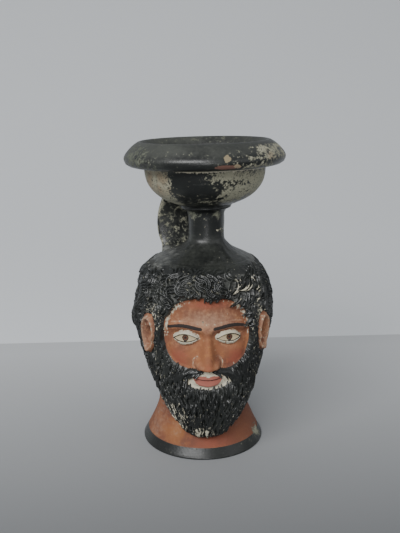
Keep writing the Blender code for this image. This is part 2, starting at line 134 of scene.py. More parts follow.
head = {
    "crown": 103, "halfWidth": 34.4, "front": 34.2, "back": 36.2, "offset": -0.8,
    "squareness": 2.15,      # power of the superellipse that each level follows
    "hairDepth": 2.6, "nape": 25, "beardDrop": 15.5, "capEdge": 0.908,
    "footRadius": 30.8, "footBand": 5, "footEdge": 0.9, "footFlare": 1.35,
    "throatRadius": 22.2, "throatHeight": 20,
    # the left is flatter at the nape and under the cap, and one curl stands out behind the ear:
    # depth or height, then middle and half size in degrees and mm
    "leftHollow": 2.1, "hollows": ((1, (-88, 30), (34, 6)), (0.55, (-92, 77), (26, 6.5))),
    "leftCurl": 1.9, "curlPlace": ((-97, 62.5), (12, 4.8)),
    "bandRows": (2, 3, 4, 4.8, 5.2),
    "columns": 396, "footRows": 10, "beardRows": 36, "faceRows": 118, "capRows": 12,
    # level as a share of the crown's height, then half width, front and back as shares
    "outline": (
        (0.090, 0.57, 0.80, 0.53), (0.120, 0.59, 0.87, 0.55), (0.160, 0.62, 0.95, 0.58),
        (0.215, 0.67, 1.02, 0.65), (0.255, 0.69, 1.06, 0.70), (0.315, 0.735, 1.09, 0.78),
        (0.390, 0.79, 1.08, 0.87), (0.460, 0.86, 1.04, 0.94), (0.540, 0.92, 1.01, 0.98),
        (0.615, 0.97, 1.00, 1.00), (0.690, 0.985, 0.99, 1.00), (0.770, 0.95, 0.96, 0.96),
        (0.825, 0.90, 0.91, 0.90), (0.865, 0.83, 0.84, 0.82), (0.888, 0.76, 0.77, 0.74),
        (0.908, 0.68, 0.68, 0.65), (0.925, 0.57, 0.57, 0.54),
    ),
    # the neck's root: height over the crown, and radius past the neck's own
    "neckRoot": ((-6, 7.2), (-4, 3.8), (-2.2, 1.7), (-0.9, 0.55), (0.4, 0.1), (2, 0)),
    # angle from the face's middle, and share of the beard's drop
    "beardEdge": (
        (0, 1.00), (15, 0.90), (25, 0.60), (33, 0.28), (40, 0.05), (50, -0.12), (75, -0.04), (180, 0),
    ),
}
mouthPiece = {
    "neckRadius": 8.6, "neckLength": 14.5, "bowlHeight": 20.8, "lipHeight": 11.7,
    "tilt": math.radians(1.3), "wall": 4.2, "floor": 4.2, "spacing": 1.35,
    # outside from the neck up, over the lip and down inside to the bore: radius, height over the crown
    "profile": (
        (8.60, 3.6), (8.60, 6), (8.65, 9), (8.80, 11), (9.15, 12.6), (9.90, 13.9), (10.9, 14.6),
        (11.7, 14.9), (12.2, 15.2), (12.3, 15.6), (12.15, 15.9), (12.6, 16.15), (13, 16.5),
        (13.1, 16.8), (14.5, 17.25), (17.3, 18.35), (21.9, 20.75), (25.4, 23.9), (27.7, 27.4),
        (28.8, 31.2), (29.1, 33.6), (29.45, 34.6), (30.2, 35.1), (31.6, 35.3), (33.7, 35.4),
        (36.2, 35.9), (37.7, 36.9), (38.3, 38.2), (38.45, 39.2), (38.2, 40.3), (36.8, 42.3),
        (34.4, 44.7), (32.5, 46.1), (31.4, 46.75), (30.7, 46.95), (30.1, 46.85), (29.6, 46.3),
        (28.8, 45.4), (27.5, 43.8), (26.2, 40.5), (25.5, 37), (25, 33), (23.8, 29.2),
        (21.8, 26.4), (18.8, 24.1), (14.4, 22.1), (9, 20.3), (5.6, 19.5), (4.6, 18.7),
        (4.4, 16.5), (4.4, 8), (4.4, 0), (4.4, -8.4),
    ),
}
neckAxis = math.tan(mouthPiece["tilt"]) * (
    mouthPiece["neckLength"] + mouthPiece["bowlHeight"] + 0.5 * mouthPiece["lipHeight"]
)


def outlineRows():
    # height, half width, front and back of each level in mm, up through the neck's root
    rows = [
        (level * head["crown"], wide * head["halfWidth"], front * head["front"], back * head["back"])
        for level, wide, front, back in head["outline"]
    ]
    for rise, flare in head["neckRoot"]:
        rows.append((head["crown"] + rise, *(mouthPiece["neckRadius"] + flare,) * 3))
    return np.array(rows).T


levels, halfWidths, frontDepths, backDepths = outlineRows()


def throatRadius(z):
    # the foot flares as a power of the height left up to the throat, over a rounded edge
    flare = np.clip(1 - z / head["throatHeight"], 0, 1) ** head["footFlare"]
    edge = head["footEdge"] * (1 - np.sqrt(1 - np.clip(1 - z / head["footEdge"], 0, 1) ** 2))
    return head["throatRadius"] + (head["footRadius"] - head["throatRadius"]) * flare - edge


def lowerEdge(theta):
    # height of the beard's lower edge in front, and of the hair's at the nape
    angles, drops = zip(*head["beardEdge"])
    return head["nape"] - head["beardDrop"] * through(np.abs(np.degrees(theta)), angles, drops)


def sectionRadius(theta, z):
    # superellipse |sin/W|^n + |cos/D|^n = 1/r^n, with its width and depths at each height
    depth = np.where(np.cos(theta) > 0, through(z, levels, frontDepths), through(z, levels, backDepths))
    power = head["squareness"]
    wide = through(z, levels, halfWidths)
    return (np.abs(np.sin(theta) / wide) ** power + np.abs(np.cos(theta) / depth) ** power) ** (-1 / power)


def radiusAt(angle, height):
    # the section's radius at one angle in degrees and one height
    return float(sectionRadius(np.array([math.radians(angle)]), np.array([height]))[0])


def headPoints(theta, z, height):
    # the outer form, moved out by height square to the side profile: over its lower edge it swells
    # from the throat's radius to the section's, and never under it
    over = z - lowerEdge(theta)
    roundEdge = np.sqrt(1 - (1 - np.clip(over / head["hairDepth"], 0, 1)) ** 2)
    plain = throatRadius(z)
    least = plain * fall(z, 0.30 * head["crown"], 0.45 * head["crown"])
    swell = (np.maximum(sectionRadius(theta, z), least) - plain) * roundEdge
    step = 0.4
    slope = through(z + step, levels, halfWidths) - through(z - step, levels, halfWidths)
    long = np.hypot(slope, 2 * step)
    out = 1 + (2 * step / long - 1) * roundEdge
    up = -slope / long * roundEdge
    hollow = sum(share * hill(np.degrees(theta), z, *place) for share, *place in head["hollows"])
    radius = plain + swell + height * out - head["leftHollow"] * hollow
    lean = ramp(z, 0.85 * head["crown"], head["crown"])
    x = head["offset"] * (1 - lean) + neckAxis * lean + radius * np.sin(theta)
    return np.stack([x, -radius * np.cos(theta), z + height * up], axis=-1)


# The face: three equal thirds from hairline to chin, with its places counted in thirds sideways from
# the middle and upwards from the chin

face = {
    "top": 0.800, "chin": 0.300, "eye": (0.63, 1.80), "eyeSize": (0.34, 0.128, 0.088),
    "mouth": (0, 0.70), "mouthSize": (0.66, 0.245), "upperLip": 0.45, "lowerLip": 0.40,
    "skin": 1.90, "skinHalfWidth": 1.37, "skinRise": 1.10, "skinFall": 1.02, "skinPower": 2.6,
    "earAngle": math.radians(52), "ear": 1.80, "earSize": (0.26, 0.57), "earLean": math.radians(-8),
}
chinHeight = face["chin"] * head["crown"]
third = (face["top"] - face["chin"]) * head["crown"] / 3


def faceZones(theta, z):
    # place on the face, shares of bare skin and mouth, and how far inside the skin: the skin is a
    # superellipse and the mouth an ellipse
    across = np.abs(theta) * head["front"] / third
    up = (z - chinHeight) / third
    reach = np.where(up > face["skin"], face["skinRise"], face["skinFall"])
    power = face["skinPower"]
    level = (across / face["skinHalfWidth"]) ** power + (np.abs(up - face["skin"]) / reach) ** power
    oval = (across / face["mouthSize"][0]) ** 2 + ((up - face["mouth"][1]) / face["mouthSize"][1]) ** 2
    return across, up, ramp(1 - level, 0, 0.30), ramp(1 - oval, -0.3, 0.3), 1 - level


def eyeOpening(across, up):
    # how far inside the almond between the lids a point is, and the lids' two arcs
    ex = (across - face["eye"][0]) / face["eyeSize"][0]
    ey = up - face["eye"][1]
    arc = np.clip(1 - ex ** 2, -0.6, 1)
    upper = face["eyeSize"][1] * arc
    lower = -face["eyeSize"][2] * arc
    return np.minimum(upper - ey, ey - lower), ey - upper, ey - lower, ex


def browArc(across):
    # calm arc of the brow, highest over the eye's outer half
    return 2.06 + 0.10 * ridge(across - 0.74, 0.42)


def lipEdges(across):
    # height of the upper lip over the parting, with a shallow bow, and depth of the lower lip under it
    upper = np.clip(1 - (across / face["upperLip"]) ** 2, 0, 1) ** 0.6
    lower = np.clip(1 - (across / face["lowerLip"]) ** 2, 0, 1) ** 0.6
    return 0.145 * upper * (1 - 0.20 * ridge(across, 0.07)), 0.160 * lower


def mouthLine(across):
    # height of the parting between the lips, level in the middle and just lifted at the corners
    return 0.705 + 0.03 * ramp(across, 0.2, 0.5) - 0.012 * ridge(across, 0.08)


def nearWing(across, up):
    # distance from the middle of the nose's wing
    return np.hypot((across - 0.235) / 0.9, up - 1.12)


def faceForm(across, up):
    # heights of a calm, regular face over its plain skin, as a sum of hills, ridges and hollows
    brow = 0.075 * ridge(up - browArc(across) + 0.04, 0.12) * fall(across, 1.05, 1.3)
    socket = -0.11 * hill(across, up, face["eye"], (0.40, 0.24))
    inside, overUpper, overLower, ex = eyeOpening(across, up)
    ball = 0.135 * np.sqrt(np.clip(1 - (ex / 1.08) ** 2 - ((up - face["eye"][1]) / 0.215) ** 2, 0, 1))
    within = fall(np.abs(ex), 0.98, 1.15)
    lids = (0.052 * ridge(overUpper - 0.028, 0.034) + 0.038 * ridge(overLower + 0.024, 0.030)) * within
    crease = -0.022 * ridge(overUpper - 0.105, 0.028) * within

    along = up - 1
    stations = (-0.10, -0.02, 0.10, 0.22, 0.5, 0.8, 1.1)
    bridge = through(along, stations, (0, 0.13, 0.36, 0.365, 0.25, 0.13, 0))
    half = 0.125 + 0.10 * np.clip(1 - along, 0, 1) ** 1.5
    nose = bridge * np.exp(-((across / half) ** 2.5))
    wings = 0.17 * hill(across, along, (0.25, 0.13), (0.10, 0.115))
    wingCrease = -0.035 * ridge(nearWing(across, up) - 0.165, 0.028) * ramp(across, 0.2, 0.3)
    nostril = -0.14 * hill(across, along, (0.125, 0.005), (0.055, 0.035))

    cheeks = 0.07 * hill(across, up, (0.88, 1.35), (0.34, 0.34))
    muzzle = 0.10 * hill(across, up, (0, 0.72), (0.52, 0.36))
    philtrum = -0.03 * ridge(across, 0.045) * ramp(up, 0.84, 0.88) * fall(up, 0.94, 1)
    above = up - mouthLine(across)
    reach = np.clip(1 - (across / 0.47) ** 2, 0, 1)
    upperLip = 0.085 * ridge(above - 0.075, 0.062) * reach * (1 - 0.25 * ridge(across, 0.06))
    full = np.clip(1 - (across / face["lowerLip"]) ** 2, 0, 1)
    lowerLip = 0.105 * ridge(above + 0.085, 0.070) * full
    gap = -0.05 * ridge(above, 0.022) * ramp(reach, 0, 0.25)
    whole = brow + socket + ball + lids + crease + nose + wings + wingCrease + nostril
    return whole + cheeks + muzzle + philtrum + upperLip + lowerLip + gap


def earForm(theta, up):
    # share of ear at each point, how far out on it, and its height: rim, fold, hollow, tragus and lobe
    side = (np.abs(theta) - face["earAngle"]) * head["halfWidth"] / third
    rise = up - face["ear"]
    turned = side * math.cos(face["earLean"]) - rise * math.sin(face["earLean"])
    upright = side * math.sin(face["earLean"]) + rise * math.cos(face["earLean"])
    wide, tall = face["earSize"]
    narrow = 1 + 0.18 * np.clip(-upright / tall, -1, 1)
    ring = np.hypot(turned * narrow / wide, upright / tall)
    share = fall(ring, 0.98, 1.10)
    rim = 0.15 * ridge(ring - 0.82, 0.17) * (1 - 0.7 * hill(turned, upright, (-0.26, -0.10), (0.12, 0.17)))
    fold = 0.085 * ridge(ring - 0.44, 0.12) * ramp(turned, -0.12, 0.04)
    hollow = -0.15 * hill(turned, upright, (-0.01, -0.03), (0.11, 0.20))
    tragus = 0.10 * hill(turned, upright, (-0.19, -0.06), (0.055, 0.10))
    lobe = 0.07 * hill(turned, upright, (-0.04, -0.42), (0.12, 0.09))
    return share, ring, rim + fold + hollow + tragus + lobe - 0.04


# Hair and beard: every lock is laid on the head along a path of its own. A draw on a line of its own
# passes over one random number

# half width, height, lift from root to tip, and base over the skin in mm, of each kind of whisker
whiskers = {
    "overMoustache": (0.60, 1.25, 0.4, -0.1), "underMoustache": (0.60, 1.25, 0.4, 0.2),
    "cheek": (0.64, 1.3, 0.4, 0.05), "ear": (0.66, 1.5, 0.5, 0), "chin": (0.56, 1.2, 0.5, -0.2),
}

noLock = -9.0  # height in mm where no lock lies, far under the skin


def lockAt(angle, z, headings, long, shape):
    # one lock: angle and height of its root, heading at each station in degrees from straight down,
    # length, the shape's four sizes, number and depth of its grooves, and how far aside it lies
    sizes = dict(zip(("half", "high", "lift", "base"), shape))
    return {
        "angle": angle, "z": z, "headings": headings, "long": long, **sizes, "grooves": 1, "cut": 0.1,
        "aside": 0,
    }


def layLock(field, theta, z, lock):
    # raises field to the lock where that is higher
    at = math.radians(lock["angle"])
    local = radiusAt(lock["angle"], lock["z"])
    heading = np.radians(lock["headings"])
    count = len(heading)
    step = lock["long"] / count
    path = np.zeros((count + 1, 2))
    path[1:, 0] = np.cumsum(step * np.sin(heading))
    path[1:, 1] = -np.cumsum(step * np.cos(heading))
    ahead = np.append(heading, heading[-1])
    path = path + lock["aside"] * np.stack([np.cos(ahead), np.sin(ahead)], axis=-1)
    reach = np.abs(path).max() + 2 * lock["half"]
    turn = (theta - at + math.pi) % (2 * math.pi) - math.pi
    near = (np.abs(turn) * local < reach) & (np.abs(z - lock["z"]) < reach)
    point = np.stack([turn[near] * local, z[near] - lock["z"]], axis=-1)[:, None, :]
    start, run = path[:-1], np.diff(path, axis=0)
    t = np.clip(((point - start) * run).sum(-1) / ((run ** 2).sum(-1) + 1e-9), 0, 1)
    gap = point - start - t[..., None] * run
    distance = np.hypot(gap[..., 0], gap[..., 1])
    best = distance.argmin(axis=1)
    rows = np.arange(len(best))
    aside = gap[rows, best, 0] * run[best, 1] - gap[rows, best, 1] * run[best, 0]
    along = (best + t[rows, best]) / count
    # half width: narrow at the root, widest a third down, drawn to a point: w sqrt(sin(pi(.12+.88t)))
    half = lock["half"] * np.sqrt(np.clip(np.sin(math.pi * (0.12 + 0.88 * along ** 0.85)), 0, 1)) + 0.02
    q = np.sign(aside) * distance[rows, best] / half
    dome = np.sqrt(np.clip(1 - q * q, 0, 1))
    grooves = 0.5 - 0.5 * np.cos(math.pi * lock["grooves"] * q)
    rise = lock["base"] + lock["lift"] * along + lock["high"] * dome * (1 - lock["cut"] * grooves)
    field[near] = np.maximum(field[near], np.where(np.abs(q) < 1, rise, noLock))


# sizes in mm and headings in degrees: fine is half a strand's width in front, broad half a lock's behind
hair = {
    "rowHeight": 5.2, "columnFront": 4.7, "columnBack": 6.6, "columnCombed": 1.9, "seed": 11,
    "long": 9.4, "swing": 68, "strand": 1.42, "fine": 0.76, "broad": 1.75, "high": 1.9,
    "plainFrom": 62, "plainTo": 112, "combed": (16, 62), "combedUnder": 89.5,
    "combedLong": 8, "combedHeading": -42, "combedTurn": 26,
}
beard = {
    "rowHeight": 6.2, "column": 1.78, "seed": 23, "long": 13, "half": 0.86, "high": 2.05, "halfAngle": 55,
    "wave": 25, "waveLength": 8.6,
}


def hairLocks():
    # rows of hooked curls, of two or three strands side by side in front and one broad grooved lock
    # behind, each row's tips over the roots of the next
    rng = np.random.default_rng(hair["seed"])
    stations = np.linspace(0, 1, 12)
    top = head["capEdge"] * head["crown"] - 0.4
    found = []
    for row in range(int((top - head["nape"]) / hair["rowHeight"]) + 1):
        height = top - row * hair["rowHeight"]
        angle = -180 + rng.uniform(0, 8)
        hand = 1
        while angle < 180:
            behind = float(ramp(abs(angle), hair["plainFrom"], hair["plainTo"]))
            column = hair["columnFront"] + (hair["columnBack"] - hair["columnFront"]) * behind
            combed = hair["combed"][0] < angle < hair["combed"][1] and height < hair["combedUnder"]
            plain = rng.random() < behind
            scatter = rng.normal(size=5)
            hand = -hand if rng.random() < 0.35 else hand
            rng.random()
            swing = hand * hair["swing"] * (1 - 0.40 * behind) * (1 + 0.12 * scatter[0])
            local = radiusAt(angle, height)
            middle = angle + 0.10 * math.degrees(column / local) * scatter[3]
            headings = swing * np.cos(1.5 * math.pi * stations + 0.35 * scatter[1]) + 8 * scatter[2]
            long = hair["long"] * (1 + 0.30 * behind)
            shape = hair["fine"] * (1 + 0.10 * scatter[0]), hair["high"] * (1 + 0.08 * scatter[1]), 0.7, -1.5
            grooved = {}
            strands = (0,)
            if combed:
                column = hair["columnCombed"]
                headings = hair["combedHeading"] + hair["combedTurn"] * np.cos(math.pi * stations)
                headings = headings + 6 * scatter[2]
                long = hair["combedLong"]
            elif plain:
                shape = hair["broad"], hair["high"] + 0.25, 0.7, -1.6
                grooved = {"grooves": 2, "cut": 0.45}
            else:
                strands = (-1, 0, 1) if rng.random() < 0.4 else (-0.5, 0.5)
            if faceZones(math.radians(angle), height - 0.5 * long)[2] > 0.3:
                long *= 0.34
            rooted = faceZones(math.radians(angle), height - 1)[2] < 0.45
            isBeard = abs(angle) < 60 and height < chinHeight + 2.15 * third
            if rooted and not isBeard:
                lock = {**lockAt(middle, height + 0.6 * scatter[4], headings, long, shape), **grooved}
                found += [{**lock, "aside": strand * hair["strand"]} for strand in strands]
            angle += math.degrees(column / local)
    print("curls placed:", len(found))
    return found


def beardLocks():
    # wavy strands that draw together towards the tip: angle = c * 55 deg * spread(z)
    rng = np.random.default_rng(beard["seed"])
    stations = np.linspace(0, 1, 10)
    top = chinHeight + 2.2 * third
    low = head["nape"] - head["beardDrop"]
    found = []

    def spread(height):
        # 1 at the chin and above, falling to 1/2 at the tip
        return 0.50 + 0.50 * float(ramp(height, low - 4, chinHeight + 3))

    rows = int((top - low - 3) / beard["rowHeight"]) + 1
    across = int(2 * math.radians(beard["halfAngle"]) * head["front"] / beard["column"])
    for row in range(rows):
        height = top - row * beard["rowHeight"]
        for place in range(across + 1):
            share = 2 * (place + 0.5 * (row % 2)) / across - 1
            scatter = rng.normal(size=6)
            angle = beard["halfAngle"] * share * spread(height)
            root = height + 1 * scatter[1]
            zone = faceZones(math.radians(angle), root + 0.6)
            edge = float(lowerEdge(np.array([math.radians(angle)]))[0])
            if max(zone[2], zone[3]) > 0.25 or root < edge + 2.2 or abs(share) > 1.04:
                continue
            drop = min(beard["long"] * (1 + 0.13 * scatter[0]), root - edge + 1.2)
            shift = beard["halfAngle"] * share * spread(height - drop) - angle
            lean = math.degrees(math.atan2(math.radians(shift) * head["front"], drop))
            phase = 0.35 * place + 0.25 * scatter[4]
            wave = beard["wave"] * np.sin(2 * math.pi * (stations * drop / beard["waveLength"] + phase))
            shape = beard["half"] * (1 + 0.14 * scatter[3]), beard["high"], 0.7, -1.6 + 0.12 * scatter[5]
            found.append(lockAt(angle, root, lean + wave + 4 * scatter[2], drop, shape))
            rng.random()
    print("beard strands placed:", len(found))
    return found


def wavy(height, count, phase):
    # headings that swing to and fro along a strand: height sin(2 pi (s + phase)), s from 0 to 0.9
    return height * np.sin(2 * math.pi * (np.linspace(0, 0.9, count) + phase))


def whiskerLocks():
    # strands whose heights are over the skin
    rng = np.random.default_rng(beard["seed"] + 1)
    perThird = math.degrees(third / head["front"])
    found = []
    # moustache: two layers on each side, from under the nose round the corners of the mouth
    for side in (-1, 1):
        for shift, kind in ((0, "overMoustache"), (-0.075, "underMoustache")):
            for share in np.linspace(0, 1, 11):
                scatter = rng.normal(size=4)
                across = 0.10 + 0.64 * share + 0.5 * abs(shift) + 0.010 * scatter[3]
                up = 1.01 - 0.12 * share ** 1.5 + shift * (1 - 0.4 * share) + 0.010 * scatter[0]
                headings = np.linspace(66 - 34 * share, 36 - 30 * share, 9) + 7 * scatter[1]
                found.append(lockAt(
                    side * across * perThird, chinHeight + up * third, side * headings,
                    3.8 + 3.2 * share + 0.4 * scatter[2], whiskers[kind],
                ))
                rng.random()
    # from one temple under the cheeks to the other, along the skin's superellipse: cos^(2/n), 2/n = .77
    for turn in np.radians(np.linspace(-192, 12, 66)):
        scatter = rng.normal(size=4)
        right, over = math.cos(turn), math.sin(turn)
        reach = face["skinRise"] if over > 0 else face["skinFall"]
        across = face["skinHalfWidth"] * math.copysign(abs(right) ** 0.77, right)
        up = face["skin"] + reach * math.copysign(abs(over) ** 0.77, over)
        wave = wavy(16, 9, rng.random())
        if abs(across) > 0.62:
            found.append(lockAt(
                across * perThird + 0.4 * scatter[0], chinHeight + up * third + 0.2 + 0.9 * scatter[1],
                math.copysign(14, across) + wave + 5 * scatter[2], 8 + 1.2 * scatter[3],
                whiskers["cheek"],
            ))
            rng.random()
    # in front of the ears, down to the beard
    for side in (-1, 1):
        for height in np.arange(79, 55, -2.1):
            for angle in (39.6, 41.6, 43.6):
                scatter = rng.normal(size=4)
                found.append(lockAt(
                    side * (angle + 0.5 * scatter[0]), height + 0.6 * scatter[1],
                    wavy(34, 9, rng.random()) + 6 * scatter[2], 6 + 0.8 * scatter[3], whiskers["ear"],
                ))
    # under the lower lip
    for share in np.linspace(-1, 1, 27):
        scatter = rng.normal(size=3)
        found.append(lockAt(
            18.5 * share + 0.5 * scatter[0],
            chinHeight + third * (0.445 + 0.14 * share ** 2 + 0.035 * scatter[1]),
            wavy(14, 8, rng.random()), 6 + 1.2 * scatter[2], whiskers["chin"],
        ))
        rng.random()
    print("whiskers placed:", len(found))
    return found


laidLocks = hairLocks() + beardLocks()
laidWhiskers = whiskerLocks()


# Relief of the head, and where its coats of paint, wear and dust lie, and its painted shade, painted sheen
# and painted highlights

# patches, each with its strength, its middle as angle and height in degrees and mm, and its size
headPatches = {
    "creamHollows": ((0.58, (-14, 84), (34, 9)),),
    "creamRidges": (
        (0.95, (35, 83), (16, 6.5)), (0.66, (-27, 23), (17, 10)),
        (0.34, (-44, 46), (12, 16)), (0.34, (44, 46), (12, 16)),
    ),
    "creamTemples": ((0.44, (-46, 70), (9, 9)), (0.44, (46, 70), (9, 9))),
    # the hair's left front carries an olive-grey film with painted sheen
    "beardTip": ((1, (-4, 15.5), (11, 3.8)),), "hairFilmAndSheen": ((0.30, (-24, 84), (34, 9)),),
    "footChip": ((1, (68, 4.8), (12, 3.2)),), "footRed": ((1, (10, 7.5), (34, 6.5)),),
    "footGlow": ((0.50, (-32, 12), (26, 14)),), "footDust": ((0.30, (-66, 16), (20, 14)),),
    "footWash": ((0.45, (-66, 11), (22, 9)), (0.48, (-36, 12), (9, 6))),
}
# patches on the skin, with middle and size in thirds; the pale ones are painted highlights on the upper
# forehead, round the eyes and on the nose's wing
skinPatches = {
    "pale": (
        (0.80, (0, 2.30), (1.05, 0.36)), (0.60, face["eye"], (0.55, 0.34)),
        (0.45, (0.28, 1.1), (0.22, 0.2)),
    ),
    "red": ((0.9, (0.85, 1.2), (0.45, 0.45)), (0.6, (0, 1.2), (0.22, 0.25))),
    "hairline": ((0.9, (0, 2.78), (0.9, 0.24)),),
}
eyePaint = {"iris": 0.080, "pupil": 0.036, "height": 0.020, "upperLash": 0.021, "lowerLash": 0.014}


def headRows(theta):
    # heights of the rows of points, from the table up to the neck, close at edges and on the face
    edge = lowerEdge(theta)
    flat = np.ones_like(theta)
    rows = [head["footEdge"] * share * flat for share in (0, 0.08, 0.25, 0.5, 0.75, 1)]
    rows += [height * flat for height in head["bandRows"]]
    band = head["bandRows"][-1]
    rows += [band + (edge - 0.5 - band) * share for share in np.linspace(0, 1, head["footRows"] + 1)[1:]]
    rows += [edge + head["hairDepth"] * share for share in (0, 0.04, 0.12, 0.25, 0.45, 0.7, 1)]
    first = rows[-1]
    chinRow = chinHeight + 0.12 * third
    rows += [first + (chinRow - first) * share for share in np.linspace(0, 1, head["beardRows"] + 1)[1:-1]]
    top = head["capEdge"] * head["crown"]
    rows += [height * flat for height in np.linspace(chinRow, top, head["faceRows"])]
    rows += [height * flat for height in np.linspace(top, head["crown"] + 2, head["capRows"] + 1)[1:]]
    return np.array(rows)


def headRelief(theta, z):
    # heights over the plain form: skin and ground, over them the highest lock, and the ears in their
    # place; with them the fields that the colours need
    across, up, skin, mouth, _ = faceZones(theta, z)
    ear, _, earHeight = earForm(theta, up)
    bare = np.maximum(skin, mouth)
    field = np.full(theta.shape, noLock)
    whiskers = np.zeros(theta.shape)
    for lock in laidLocks:
        layLock(field, theta, z, lock)
    for lock in laidWhiskers:
        layLock(whiskers, theta, z, lock)
    edge = np.clip((z - lowerEdge(theta)) / head["hairDepth"], 0, 1)
    cap = ramp(z, (head["capEdge"] - 0.014) * head["crown"], head["capEdge"] * head["crown"])
    ground = -head["hairDepth"] * bare + third * faceForm(across, up) * bare
    ground = ground - (1 - 0.8 * ramp(z, 88, 92)) * (1 - bare)
    locks = np.maximum(field - 0.45 * head["hairDepth"] * bare, ground + whiskers - 0.01)
    cover = np.clip((locks - ground) / 0.30, 0, 1) * (1 - ear)
    carved = np.maximum(locks, ground) * (1 - ear) + third * earHeight * ear
    carved = carved + head["leftCurl"] * hill(np.degrees(theta), z, *head["curlPlace"])
    carved = np.where(z > lowerEdge(theta), carved * (1 - cap) * edge, 0)
    uneven = 0.10 * waver(theta * 34, z, 9, 5) * ramp(z, 6, 12) * fall(z, 100, 103)
    return carved + uneven, headColours(theta, z, carved, cover, cap)


def headColours(theta, z, carved, cover, cap):
    # shares of each colour and kind of wear at each point, from 0 to 1, with painted shade on the foot,
    # painted sheen, and painted highlights on the skin
    across, up, skin, mouth, inward = faceZones(theta, z)
    ear, ring, _ = earForm(theta, up)
    deg = np.degrees(theta)
    on = {name: hills(deg, z, places) for name, places in headPatches.items()}
    on.update({name: hills(across, up, places) for name, places in skinPatches.items()})

    onHair = (1 - cap) * (z > lowerEdge(theta))
    bareSkin = np.maximum(np.maximum(skin, mouth) * (1 - cover), ear) * onHair
    onLock = onHair * (1 - bareSkin)
    onSkin = skin * (1 - cover)
    onFoot = (z > head["footBand"]) & (z <= lowerEdge(theta) + 0.15)
    valley = ramp(-carved, 0.1, 0.9) * onLock
    crest = ramp(carved, 0.20, 0.65) * onLock
    ridgeTop = ramp(carved, 0.50, 0.90) * onLock
    hollows = ridge(carved + 0.45, 0.30) * onLock * ramp(z, 79, 83) * on["creamHollows"]
    tip = on["beardTip"] * (0.35 * onLock + 0.65 * ridgeTop)

    inside, overUpper, overLower, ex = eyeOpening(across, up)
    opened = ramp(inside, 0, 0.012)
    fromPupil = np.hypot(across - face["eye"][0], up - face["eye"][1] - eyePaint["height"])
    iris = ramp(eyePaint["iris"] - fromPupil, -0.008, 0.012) * opened * skin
    pupil = ramp(eyePaint["pupil"] - fromPupil, -0.008, 0.010) * opened * skin
    irisRing = ridge(fromPupil - eyePaint["iris"] - 0.002, 0.014) * opened * skin
    lidBand = ramp(0.075 - np.abs(inside + 0.045), 0, 0.05) * fall(np.abs(ex), 1.05, 1.30) * onSkin
    lashes = highest(ridge(overUpper, eyePaint["upperLash"]), 0.75 * ridge(overLower, eyePaint["lowerLash"]))
    lashes = lashes * fall(np.abs(ex), 1.04, 1.12) * onSkin
    overBrow = up - browArc(across)
    brow = ridge(overBrow, 0.040 + 0.016 * ridge(across - 0.6, 0.4)) * ramp(across, 0.12, 0.20)
    brow = brow * fall(across, 1.12, 1.26) * onSkin
    browLight = ridge(overBrow - 0.125, 0.035) * fall(across, 1, 1.2) * onSkin

    upperLip, lowerLip = lipEdges(across)
    above = up - mouthLine(across)
    lips = ramp(np.minimum(upperLip - above, above + lowerLip), 0, 0.03) * mouth
    aroundLips = ramp(mouth, 0.10, 0.5) * fall(lips, 0.2, 0.7) * (1 - cover)
    aroundLips = aroundLips * fall(up, 0.92, 0.98)
    temple = fall(inward, 0.15, 0.50) * ramp(up, 1.4, 2.2) * onSkin
    temple = temple * (0.40 + 0.60 * ramp(across, 0.5, 1))
    cheekEdge = fall(inward, 0.05, 0.28) * fall(up, 1.3, 1.6) * onSkin
    wingLine = ridge(nearWing(across, up) - 0.195, 0.040) * ramp(across, 0.2, 0.3) * onSkin
    earRim = ear * ridge(ring - 0.80, 0.22)
    shelf = ramp(z, 88, 93) * fall(z, 97, 99) * ramp(np.abs(deg - 4), 34, 70)
    rightDust = ramp(deg, 5, 25) * fall(deg, 80, 120) * ramp(z, 60, 75)
    return {
        "black": np.where(onFoot, 0, 1 - bareSkin),
        "cream": highest(
            hollows, ridgeTop * on["creamRidges"], onLock * on["creamTemples"], 0.18 * ridgeTop * (z < 42),
            0.86 * tip, 0.80 * lidBand, 0.88 * aroundLips, 0.80 * temple, 0.55 * cheekEdge,
            0.30 * wingLine, 0.22 * browLight, 0.32 * earRim,
        ),
        # on the skin its pale patches are painted highlights; elsewhere it is pale paint and pale clay
        "washAndHighlight": highest(
            on["pale"] * skin, on["footWash"] * onFoot, 0.50 * temple, 0.45 * ear, 0.80 * earRim,
            0.75 * browLight, 0.70 * wingLine,
        ),
        "eyeWhite": opened * onSkin,
        "iris": iris,
        "lips": lips,
        "line": highest(brow, lashes, pupil, 0.85 * irisRing, 0.75 * ridge(above, 0.014) * lips),
        "redness": highest(on["red"] * skin, on["hairline"], on["footRed"] * onFoot),
        "glow": onFoot * on["footGlow"],
        # deep is painted shade: the foot darkened all round under the beard, and most on its right side
        "deep": onFoot * (0.42 + 0.5 * ramp(deg, 0, 45) * fall(deg, 110, 150)),
        "wear": highest(0.12 * crest, 0.30 * tip) + 0.85 * on["footChip"],
        "pale": 0.6 * onLock + 0.1 + 0.5 * on["footChip"],
        # film is an olive-grey film with painted sheen: on the cap, in the hair's valleys and over the
        # hair's left front
        "film": 0.34 * cap + 0.42 * valley + onLock * on["hairFilmAndSheen"],
        "dust": highest(0.42 * valley * rightDust, 0.48 * shelf + onFoot * on["footDust"]),
    }


def mouthPath():
    # stations along the mouth's profile, close where its knots are close
    knots = np.array(mouthPiece["profile"])
    chord = np.hypot(*np.diff(knots, axis=0).T)
    at = np.concatenate([[0], np.cumsum(chord)])
    parts = np.maximum(1, np.round(chord / mouthPiece["spacing"])).astype(int)
    runs = [np.linspace(a, b, n, endpoint=False) for a, b, n in zip(at[:-1], at[1:], parts)]
    stations = np.append(np.concatenate(runs), at[-1])
    return through(stations, at, knots[:, 0]), through(stations, at, knots[:, 1]), stations / at[-1]


